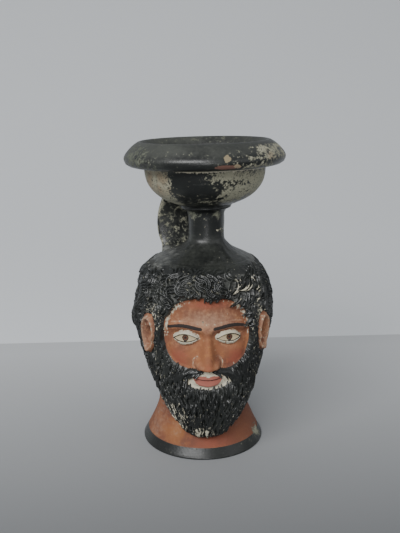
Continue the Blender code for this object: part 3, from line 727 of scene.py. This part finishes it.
def mouthPoints(theta, radius, height):
    # turned about the leaning axis through the neck's root
    tilt = mouthPiece["tilt"]
    x = radius * np.sin(theta)
    return np.stack([
        neckAxis + x * math.cos(tilt) - height * math.sin(tilt),
        -radius * np.cos(theta),
        head["crown"] + x * math.sin(tilt) + height * math.cos(tilt),
    ], axis=-1)


# the same kind of patches, with heights over the crown
mouthPatches = {
    "bowl": (
        (1, (20, 32.5), (26, 3.2)), (1, (32, 24.5), (26, 6)), (1, (58, 28), (30, 8)),
        (0.38, (0, 20), (30, 3)),
    ),
    "leftLip": (
        (0.60, (-64, 41), (24, 6)), (0.62, (-46, 36.6), (15, 1.5)),
        (0.20, (-20, 44), (30, 3)),
    ),
    "rightLip": ((0.46, (24, 41), (12, 3)), (0.58, (38, 37.4), (24, 2.2))),
    "neck": (
        (1, (30, 12.4), (30, 2.2)), (1, (-46, 12.2), (34, 2.4)), (0.7, (60, 4.5), (24, 3)),
    ),
}


def mouthColours(theta, height, share):
    # where bowl, lip and neck are bare, worn or dusty, and where an olive-grey film with painted sheen lies,
    # by angle and height over the crown
    deg, z = np.broadcast_arrays(np.degrees(theta), height)
    on = {name: hills(deg, z, places) for name, places in mouthPatches.items()}
    outside = fall(share, 0.50, 0.53)
    inner = ramp(share, 0.52, 0.56)
    onBowl = ramp(z, 16.8, 18.2) * fall(z, 34.4, 35.4) * outside
    onLip = ramp(z, 35, 36) * outside
    bareBowl = onBowl * fall(deg, -56, -24) * ramp(deg, -165, -110)
    wornBowl = onBowl * highest(on["bowl"], 0.40 * ramp(deg, 80, 120))
    lipPatch = ramp(deg, 22, 44) * fall(deg, 88, 104) * ramp(z, 36.6, 40.2) * fall(z, 44.8, 46.6)
    leftLip = onLip * on["leftLip"]
    rightLip = onLip * highest(0.60 * lipPatch, on["rightLip"])
    backLip = 0.30 * onLip * highest(ramp(deg, 95, 120), fall(deg, -120, -95))
    neck = 0.70 * fall(z, 14, 15.6) * outside * on["neck"]
    underLip = ridge(z - 34.9, 0.50) * outside * ramp(deg, -40, -20) * fall(deg, 60, 80)
    neckRing = ridge(z - 4.6, 0.5) * outside * ramp(deg, 10, 30)
    return {
        "black": np.ones_like(z),
        "cream": highest(0.30 * rightLip, 0.92 * underLip, 0.50 * neckRing),
        "redness": 0.40 * bareBowl + 0.40 * rightLip,
        "wear": highest(bareBowl, wornBowl, leftLip, rightLip, backLip, neck),
        "pale": highest(0.50 * bareBowl, 0.85 * onBowl, 0.62 * (rightLip > 0.2), 0.5 * neck),
        # film is an olive-grey film with painted sheen: on the lip's top and front, and inside the mouth
        "film": highest(0.36 * ramp(z, 40, 43.5), 0.55 * inner)
        + 0.18 * onLip + 0.20 * onLip * fall(deg, -50, -10),
        "dust": 0.10 * inner + 0.40 * ridge(z - 15.9, 0.7) * outside,
    }


def cavityRings(theta):
    # the empty head: the outer form without its carving, moved in by hair and wall
    z = np.concatenate([
        np.linspace(0.965 * head["crown"], head["nape"] + head["hairDepth"] + mouthPiece["wall"], 12),
        np.linspace(head["throatHeight"], mouthPiece["floor"], 4),
    ])[:, None]
    hairless = z <= head["throatHeight"]
    return headPoints(theta, z, -np.where(hairless, 0, head["hairDepth"]) - mouthPiece["wall"])


def gridFaces(rows, columns, offset, flip=False, closed=True):
    # quads of a band of rows x columns vertices, numbered from offset
    i = np.arange(rows - 1)[:, None] * columns
    j = np.arange(columns if closed else columns - 1)
    k = (j + 1) % columns
    quads = np.stack([i + j, i + k, i + columns + k, i + columns + j], axis=-1).reshape(-1, 4) + offset
    return quads[:, ::-1] if flip else quads


def makeMesh(name, points, faces, fields, material):
    # one mesh from points in millimetres, lists of faces, and one float attribute per field
    mesh = bpy.data.meshes.new(name)
    mesh.from_pydata((points * metre).tolist(), [], [face for block in faces for face in block.tolist()])
    mesh.polygons.foreach_set("use_smooth", np.ones(len(mesh.polygons), bool))
    for field, values in fields.items():
        attribute = mesh.attributes.new(field, "FLOAT", "POINT")
        attribute.data.foreach_set("value", values.astype(np.float32).ravel())
    mesh.materials.append(material)
    made = bpy.data.objects.new(name, mesh)
    bpy.context.scene.collection.objects.link(made)
    return made


# The moulded front: face, front hair and beard on a grid fine enough for each strand. It is a closed
# shell in the body's wall that dives under the body's surface at its border, and inside the border
# that surface lies a little lower

front = {
    "halfAngle": math.radians(72), "columns": 50, "rows": 52, "every": 6, "under": 0.8, "over": 1.6,
    "border": 2.2, "sink": 0.9, "dive": 1.3, "depth": 3, "faceDepth": 2.2,
}
frontTop = head["capEdge"] * head["crown"] + front["over"]


def insideFront(theta, z):
    # how far inside the front's border, 0 to 1 over the border's width, with the lower side drawn closer
    aside = (front["halfAngle"] - np.abs(theta)) * head["front"]
    below = (z - lowerEdge(theta) + front["under"]) * front["border"] / front["under"]
    return np.clip(np.minimum(np.minimum(aside, frontTop - z), below) / front["border"], 0, 1)


def makeFront(material):
    # outer and inner wall on one grid of angle and height, with the inner one at every sixth step
    every = front["every"]
    rows, columns = front["rows"] * every + 1, front["columns"] * every + 1
    theta = front["halfAngle"] * np.linspace(-1, 1, columns)
    low = lowerEdge(theta) - front["under"]
    z = low + (frontTop - low) * np.linspace(0, 1, rows)[:, None]
    theta = np.broadcast_to(theta, z.shape)
    carved, fields = headRelief(theta, z)
    outer = headPoints(theta, z, carved - front["dive"] * fall(insideFront(theta, z), 0, 0.5))
    fewAngles, fewHeights = theta[::every, ::every], z[::every, ::every]
    skin = faceZones(fewAngles, fewHeights)[2]
    inner = headPoints(fewAngles, fewHeights, -front["depth"] - front["faceDepth"] * skin)

    # the outer grid's border is stitched to the coarser inner one, every steps to a step
    start = rows * columns
    few = front["columns"] + 1
    out = np.arange(start).reshape(rows, columns)
    back = start + np.arange(inner.shape[0] * few).reshape(-1, few)
    step = np.arange(every + 1)
    c = np.arange(front["columns"])[:, None]
    r = np.arange(front["rows"])[:, None]
    faces = [
        gridFaces(rows, columns, 0, closed=False),
        gridFaces(len(back), few, start, flip=True, closed=False),
        np.hstack([out[0, every * c + step[::-1]], back[0, c], back[0, c + 1]]),
        np.hstack([out[-1, every * c + step], back[-1, c + 1], back[-1, c]]),
        np.hstack([out[every * r + step, 0], back[r + 1, 0], back[r, 0]]),
        np.hstack([out[every * r + step[::-1], -1], back[r, -1], back[r + 1, -1]]),
    ]
    points = np.concatenate([outer.reshape(-1, 3), inner.reshape(-1, 3)])
    fields = {name: np.append(values, np.zeros(back.size)) for name, values in fields.items()}
    print("front made:", len(points), "points")
    return makeMesh("mouldedFront", points, faces, fields, material)


# The body: one closed skin, from the underside up over head, neck and lip and down the hollow

def makeBody(material):
    # rings of points, one for each height or station of the profile, joined by bands of quads
    columns = head["columns"]
    theta = 2 * math.pi * np.arange(columns) / columns - math.pi
    coarse = theta[::3]
    few = len(coarse)
    heights = headRows(theta)
    angles = np.broadcast_to(theta, heights.shape)
    carved, outerFields = headRelief(angles, heights)
    outer = headPoints(angles, heights, carved - front["sink"] * ramp(insideFront(angles, heights), 0.5, 1))
    under = np.array([outer[0] * (part, part, 1) for part in (0.35, 0.80)])
    radius, rise, share = (values[:, None] for values in mouthPath())
    # hand-thrown: a little uneven, and a little narrower from front to back than across
    unevenness = 0.10 * waver(coarse * 30, rise, 26, 9) - 0.10 - 0.30 * np.cos(coarse) ** 2
    mouth = mouthPoints(coarse, radius + unevenness * (radius > 9), rise)
    hollow = cavityRings(coarse)
    floor = np.array([hollow[-1] * (part, part, 1) for part in (0.66, 0.33)])
    inner = np.concatenate([mouth, hollow, floor])
    innerFields = mouthColours(coarse, rise, share)
    poles = [[head["offset"], 0, outer[0, 0, 2]]], [[head["offset"], 0, hollow[-1, 0, 2]]]
    points = np.concatenate([
        poles[0], under.reshape(-1, 3), outer.reshape(-1, 3), inner.reshape(-1, 3), poles[1],
    ])

    # the head's top row is stitched to the mouth's first, three of its columns to one
    rows = len(heights) + 2
    j = np.arange(columns)
    k = np.arange(few)
    seam = 1 + (rows - 1) * columns + 3 * k
    start = 1 + rows * columns
    last = start + (len(inner) - 1) * few
    after = (k + 1) % few
    faces = [
        np.stack([0 * j, 1 + (j + 1) % columns, 1 + j], axis=-1),
        gridFaces(rows, columns, 1),
        np.stack([seam, seam + 1, seam + 2, seam[after], start + after, start + k], axis=-1),
        gridFaces(len(inner), few, start),
        np.stack([last + k, last + after, 0 * k + last + few], axis=-1),
    ]
    fields = {}
    for name, values in outerFields.items():
        underside = np.full(1 + 2 * columns, 0.4 if name == "wear" else 0.0)
        upper = innerFields.get(name, np.zeros(mouth.shape[:2]))
        inside = np.zeros(len(points) - len(underside) - values.size - upper.size)
        fields[name] = np.concatenate([underside, values.ravel(), upper.ravel(), inside])
    print("body made:", len(points), "points")
    return makeMesh("vaseBody", points, faces, fields, material)


# The strap handle, sunk into bowl and cap, with ends that spread as wet clay does

handle = {
    "width": 36, "thickness": 3.6, "reach": 25, "turn": math.radians(12), "stations": 64, "around": 44,
    "widePower": 0.55, "thickPower": 0.6,  # powers of the section's superellipse
    # reach, width and thickness at each point of the path, from bowl to cap, as shares
    "reaches": (0.79, 0.91, 0.99, 1.00, 0.97, 0.91, 0.84),
    "widths": (0.80, 0.88, 0.97, 1, 0.97, 0.90, 0.92),
    "thicken": (1.9, 1.25, 1, 1, 1, 1.3, 2.1),
}


def makeHandle(material):
    # a flattened superellipse carried down a path behind the neck, from bowl to cap
    top = head["crown"] + mouthPiece["neckLength"]
    bowl, neck, crown = mouthPiece["bowlHeight"], mouthPiece["neckLength"], head["crown"]
    heights = np.array([
        top + 0.36 * bowl, top + 0.10 * bowl, top - 0.33 * neck, top - 0.75 * neck, top - 1.15 * neck,
        0.935 * crown, 0.895 * crown,
    ])
    at = np.arange(len(heights), dtype=float)
    stations = np.linspace(0, at[-1], handle["stations"])[:, None]
    reach = through(stations, at, handle["reach"] * np.array(handle["reaches"]))
    height = through(stations, at, heights)
    half = 0.5 * handle["width"] * through(stations, at, handle["widths"])
    thick = 0.5 * handle["thickness"] * through(stations, at, handle["thicken"])
    outward, upward = np.gradient(reach, axis=0), np.gradient(height, axis=0)
    long = np.hypot(outward, upward)
    count = handle["around"]
    turn = 2 * math.pi * np.arange(count) / count
    across = np.sign(np.cos(turn)) * np.abs(np.cos(turn)) ** handle["widePower"]
    # a strap is thinner along its middle than at its two rolled edges
    deep = np.sign(np.sin(turn)) * np.abs(np.sin(turn)) ** handle["thickPower"]
    deep = deep * (0.90 + 0.10 * across ** 2)
    offset = thick * deep + 0.12 * waver(half * across, height, 14, 3)
    radial = reach - offset * (upward / long)
    z = height + offset * (outward / long)
    side = half * across
    x = side * math.cos(handle["turn"]) - radial * math.sin(handle["turn"])
    y = side * math.sin(handle["turn"]) + radial * math.cos(handle["turn"])
    grid = np.stack([x, y, z], axis=-1)
    points = np.concatenate([grid.reshape(-1, 3), grid[[0, -1]].mean(axis=1)])
    j = np.arange(count)
    k = (j + 1) % count
    total = len(stations) * count
    last = total - count
    faces = [
        gridFaces(len(stations), count, 0, flip=True),
        np.stack([j, k, 0 * j + total], axis=-1),
        np.stack([last + k, last + j, 0 * j + total + 1], axis=-1),
    ]
    # worn along its edges, most on the left, and in patches on the side that faces the neck
    rim = np.broadcast_to(np.abs(across), z.shape)
    fields = {
        # the whole strap carries an olive-grey film with painted sheen
        "black": np.ones_like(z), "film": np.full_like(z, 0.34), "dust": 0.7 * fall(z, 93.0, 98.0),
        "wear": highest(0.54 * ramp(rim, 0.86, 0.99) * (0.7 + 0.3 * (across < 0)), 0.37 * (deep < 0)),
        "cream": 0.18 * ramp(rim, 0.93, 1), "pale": 0.30 + 0.4 * ramp(rim, 0.9, 1),
    }
    fields = {name: np.append(values, [0.5, 0.5]) for name, values in fields.items()}
    return makeMesh("strapHandle", points, faces, fields, material)


# Fired clay and slip

clay = {
    "clayDark": "#6a4030", "clay": "#8e5a3b", "clayLight": "#a56d40", "clayGlow": "#97602e",
    "clayRed": "#8a4936", "clayPale": "#b08c72", "iris": "#5b3b27", "lips": "#93574a", "line": "#241c19",
    "black": "#1b1d1c", "blackOlive": "#2e312d", "blackBrown": "#231e1a", "film": "#464843",
    "wornPale": "#9a9884", "wornGreen": "#565a4e", "wornTan": "#8a7a62", "wornDark": "#33332c",
    "cream": "#c9c5b6", "creamYellow": "#b0a88c", "eyeWhite": "#b3a384", "dust": "#7f807c",
    "flakeTan": "#857960", "flakeRed": "#6b4d43", "flakePale": "#8e7f68",
}
# noises: size of their patches in mm, detail, roughness, and for two of them how a patch is drawn out
grains = {
    "broad": (14, 5, 0.55), "ragged": (3.4, 10, 0.66),
    "mottle": (1.7, 8, 0.65), "fine": (0.9, 6, 0.6),
    "streak": (2.6, 6, 0.7, (0.5, 0.5, 1.8)), "hanging": (0.8, 5, 0.6, (1, 1, 0.36)),
}
# mixtures of two noises, with the share of the second
mixtures = {
    "flaking": (0.45, "mottle", "ragged"), "clouded": (0.5, "broad", "mottle"),
    "stained": (0.5, "broad", "ragged"),
    "pitted": (0.45, "fine", "mottle"), "strandwise": (0.6, "mottle", "hanging"),
}
# coats, each over the one before: colour, share covered as a number or a field's name, noise that
# breaks its edge, the noise's strength, the edge's level and softness, and most that it covers
bareClay = (
    ("clay", 0.5, "broad", 2.2, 0.5, 0.35),
    ("clayLight", 0.30, "ragged", 1.6, 0.5, 0.25),
    ("clayGlow", "glow", "stained", 2.4, 0.5, 0.30),
    ("clayRed", "redness", "ragged", 1.4, 0.7, 0.35),
    # this coat is painted shade on the foot, under the beard and most on its right side
    ("clayDark", "deep", "ragged", 1.2, 0.5, 0.40, 0.75),
    # this coat is pale paint and pale clay, and on the skin painted highlights
    ("clayPale", "washAndHighlight", "flaking", 1.4, 0.62, 0.50, 0.75),
    ("clayDark", 0.10, "fine", 1.9, 0.5, 0.12),
)
blackSlip = (
    ("blackOlive", 0.3, "broad", 1.2, 0.5, 0.25),
    ("blackBrown", 0.12, "ragged", 1, 0.5, 0.12),
    # an olive-grey film with painted sheen over the black slip, which also makes it rougher
    ("film", "film", "clouded", 1.4, 0.5, 0.40, 0.85),
)
wornSlip = (
    ("wornPale", "pale", "ragged", 2.4, 0.5, 0.35),
    ("wornTan", "redness", "broad", 2, 0.5, 0.25),
    ("wornDark", 0.32, "pitted", 2.8, 0.5, 0.16),
)
surface = (
    ("slip", "black", "ragged", 0.5),
    ("worn", "wear", "flaking", 3, 0.5, 0.09),
    ("creamPaint", "cream", "strandwise", 3, 0.5, 0.14),
    ("eyeWhite", "eyeWhite", "fine", 0.3),
    ("iris", "iris", "fine", 0.2),
    ("lips", "lips", "fine", 0.5),
    ("line", "line", "fine", 0.4, 0.45),
    ("dust", "dust", "streak", 2.2, 0.55, 0.35, 0.62),
)
# roughness of the bare clay and of each coat, and height in mm that grain and coats add
roughness = {"slip": 0.22, "film": 0.55, "worn": 0.72, "creamPaint": 0.82, "dust": 0.90}
bareRoughness, fineRoughness = 0.72, 0.20
thickness = {"fine": 0.05, "ragged": 0.10, "worn": -0.05, "creamPaint": 0.05}
# places where the slip has come off the lip: centre and size in mm, for the colour underneath
flakes = {
    "flakeTan": ((7.2, -36.9, 144), (1.6, 4, 1.5)),
    "flakeRed": ((7.2, -36.9, 140.4), (5.6, 4, 0.95)),
    "flakePale": ((11.6, -35.6, 140.8), (1.7, 4, 0.9)),
}


def linear(colour):
    # sRGB hex to linear light: c/12.92 below 0.04045, else ((c + 0.055)/1.055)^2.4
    parts = [int(colour[i:i + 2], 16) / 255 for i in (1, 3, 5)]
    return (*(c / 12.92 if c <= 0.04045 else ((c + 0.055) / 1.055) ** 2.4 for c in parts), 1)


def addNode(tree, kind, inputs=(), **settings):
    # one node with its settings, and for each socket a value or the output that feeds it
    made = tree.nodes.new(kind)
    for name, value in settings.items():
        setattr(made, name, value)
    for socket, value in dict(inputs).items():
        if isinstance(value, bpy.types.NodeSocket):
            tree.links.new(value, made.inputs[socket])
        else:
            made.inputs[socket].default_value = value
    return made


def raggedEdge(tree, share, grain, strength, level=0.5, soft=0.06, most=1):
    # a share's edge broken by noise: smooth step of share + strength (noise - 1/2) about level
    moved = addNode(tree, "ShaderNodeMath", {0: grain, 1: strength, 2: share}, operation="MULTIPLY_ADD")
    middle = level + 0.5 * strength
    return addNode(tree, "ShaderNodeMapRange", {
        "Value": moved.outputs[0], "From Min": middle - soft, "From Max": middle + soft, "To Max": most,
    }, interpolation_type="SMOOTHSTEP").outputs[0]


def makeGrains(tree, place):
    # each noise, from 0 to 1, in patches of its own size in millimetres, and the mixtures of two
    grain = {}
    for name, (size, detail, rough, *drawn) in grains.items():
        along = place
        if drawn:
            inputs = {0: place, 1: drawn[0]}
            along = addNode(tree, "ShaderNodeVectorMath", inputs, operation="MULTIPLY").outputs[0]
        grain[name] = addNode(tree, "ShaderNodeTexNoise", {
            "Vector": along, "Scale": 1 / size, "Detail": detail, "Roughness": rough,
        }).outputs["Fac"]
    for name, (part, first, second) in mixtures.items():
        inputs = {0: part, 2: grain[first], 3: grain[second]}
        grain[name] = addNode(tree, "ShaderNodeMix", inputs).outputs[0]
    return grain


def paintedTerracotta():
    # wheel-thrown and moulded clay fired red, covered in black gloss slip that has worn and flaked, with
    # added cream and red paint on the face and dust lying in the grooves; over the slip an olive-grey film
    # with painted sheen, on the foot painted shade and on the face painted highlights
    made = bpy.data.materials.new("painted terracotta")
    made.use_nodes = True
    tree = made.node_tree
    tree.nodes.clear()
    place = addNode(tree, "ShaderNodeTexCoord").outputs["Object"]
    inputs = {0: place, "Scale": 1 / metre}
    place = addNode(tree, "ShaderNodeVectorMath", inputs, operation="SCALE").outputs[0]
    grain = makeGrains(tree, place)
    tint = {name: linear(value) for name, value in clay.items()}
    field, edges = {}, {}

    def paint(colour, coats):
        # each coat over the ones before: under (1 - edge) + over edge
        for name, share, noise, *shape in coats:
            if isinstance(share, str) and share not in field:
                field[share] = addNode(tree, "ShaderNodeAttribute", attribute_name=share).outputs["Fac"]
            edges[name] = raggedEdge(tree, field.get(share, share), grain[noise], *shape)
            inputs = {0: edges[name], 6: colour, 7: tint[name]}
            colour = addNode(tree, "ShaderNodeMix", inputs, data_type="RGBA").outputs[2]
        return colour

    bare = paint(tint["clayDark"], bareClay)
    tint["slip"] = paint(tint["black"], blackSlip)
    tint["worn"] = paint(tint["wornGreen"], wornSlip)
    inputs = {0: grain["broad"], 6: tint["creamYellow"], 7: tint["cream"]}
    tint["creamPaint"] = addNode(tree, "ShaderNodeMix", inputs, data_type="RGBA").outputs[2]
    colour = paint(bare, surface)
    for name, (centre, size) in flakes.items():
        # ellipsoid: 1.5 less the distance from the centre, counted in sizes
        away = addNode(tree, "ShaderNodeVectorMath", {0: place, 1: centre}, operation="SUBTRACT").outputs[0]
        away = addNode(tree, "ShaderNodeVectorMath", {0: away, 1: size}, operation="DIVIDE").outputs[0]
        away = addNode(tree, "ShaderNodeVectorMath", {0: away}, operation="LENGTH").outputs["Value"]
        near = addNode(tree, "ShaderNodeMath", {0: 1.5, 1: away}, operation="SUBTRACT").outputs[0]
        colour = paint(colour, ((name, near, "mottle", 1.5),))

    rough = bareRoughness
    for name, value in roughness.items():
        rough = addNode(tree, "ShaderNodeMix", {0: edges[name], 2: rough, 3: value}).outputs[0]
        if name == "film":
            inputs = {0: grain["fine"], 1: fineRoughness, 2: rough}
            rough = addNode(tree, "ShaderNodeMath", inputs, operation="MULTIPLY_ADD").outputs[0]
    level = 0.0
    for name, value in thickness.items():
        inputs = {0: grain[name] if name in grain else edges[name], 1: value, 2: level}
        level = addNode(tree, "ShaderNodeMath", inputs, operation="MULTIPLY_ADD").outputs[0]
    relief = addNode(tree, "ShaderNodeBump", {"Height": level, "Strength": 1, "Distance": metre})
    shader = addNode(tree, "ShaderNodeBsdfPrincipled", {
        "Base Color": colour, "Roughness": rough, "Normal": relief.outputs[0], "IOR": 1.5,
    })
    addNode(tree, "ShaderNodeOutputMaterial", {"Surface": shader.outputs[0]})
    return made


terracotta = paintedTerracotta()
pieces = [makeBody(terracotta), makeFront(terracotta), makeHandle(terracotta)]
for piece in pieces:
    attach(piece, "root")
    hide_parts(node)
print("pieces made")


# Table, sweep and light. The lights' places and sizes are in metres

room = {
    "edgeBehind": 142, "half": 3000, "sweepDepth": 900, "sweepSlope": 0.176, "sweepCurl": 1.5e-6,
    # tableShadeNear is painted shade: the table grows darker towards the front, from shadeTo to shadeFrom
    "table": "#c6c8ca", "tableShadeNear": "#717375", "shadeFrom": -0.10, "shadeTo": 0.12,
    "sweep": "#dcdfe2", "air": "#e8ebee", "airStrength": 0.50, "aim": (0, 0, 0.08),
    # place, width, height and power
    "lights": {
        "keyLight": ((-0.40, -0.72, 0.62), 0.75, 0.35, 9.4),
        "frontLight": ((-0.03, -0.75, 0.13), 0.16, 0.12, 0.8),
        "fillLight": ((0.70, -0.45, 0.45), 0.6, 0.6, 0.8),
    },
}


def plainMaterial(name, colour, rough):
    # board or paper of one colour, with no gloss
    made = bpy.data.materials.new(name)
    made.use_nodes = True
    shader = made.node_tree.nodes["Principled BSDF"]
    shader.inputs["Base Color"].default_value = linear(colour)
    shader.inputs["Roughness"].default_value = rough
    return made


def tableMaterial():
    # matt grey board, with painted shade that makes it darker towards the front
    made = plainMaterial("matt grey board", room["table"], 0.8)
    tree = made.node_tree
    place = addNode(tree, "ShaderNodeTexCoord").outputs["Object"]
    ahead = addNode(tree, "ShaderNodeSeparateXYZ", {0: place}).outputs["Y"]
    far = addNode(tree, "ShaderNodeMapRange", {
        "Value": ahead, "From Min": room["shadeFrom"], "From Max": room["shadeTo"],
    }).outputs[0]
    inputs = {0: far, 6: linear(room["tableShadeNear"]), 7: linear(room["table"])}
    colour = addNode(tree, "ShaderNodeMix", inputs, data_type="RGBA").outputs[2]
    tree.links.new(colour, tree.nodes["Principled BSDF"].inputs["Base Color"])
    return made


def makeRoom():
    # a flat table, and behind its edge a sweep low enough for a camera to pass over it:
    # height = a d + b d^3, with d the distance behind the edge
    half, edge = room["half"], room["edgeBehind"]
    table = np.array([(-half, -half, 0), (half, -half, 0), (half, edge, 0), (-half, edge, 0)])
    behind = np.linspace(0, room["sweepDepth"], 60)
    height = room["sweepSlope"] * behind + room["sweepCurl"] * behind ** 3
    rows = [np.stack([0 * behind + x, edge + behind, height], axis=-1) for x in (-half, half)]
    sweep = np.stack(rows, axis=1).reshape(-1, 3)
    paper = plainMaterial("matt paper sweep", room["sweep"], 0.9)
    makeMesh("tableTop", table, [np.array([[0, 1, 2, 3]])], {}, tableMaterial())
    makeMesh("backSweep", sweep, [gridFaces(len(behind), 2, 0, closed=False)], {}, paper)


def addLight(name, place, wide, tall, power):
    # a rectangular light at its place, turned so that it faces the aim
    made = bpy.data.objects.new(name, bpy.data.lights.new(name, "AREA"))
    bpy.context.scene.collection.objects.link(made)
    made.data.shape = "RECTANGLE"
    made.data.size = wide
    made.data.size_y = tall
    made.data.energy = power
    made.location = place
    made.rotation_euler = (Vector(place) - Vector(room["aim"])).to_track_quat("Z", "Y").to_euler()


makeRoom()
for name, values in room["lights"].items():
    addLight(name, *values)
world = bpy.data.worlds.new("room air")
bpy.context.scene.world = world
world.use_nodes = True
world.node_tree.nodes["Background"].inputs["Color"].default_value = linear(room["air"])
world.node_tree.nodes["Background"].inputs["Strength"].default_value = room["airStrength"]
print("room and lights made")
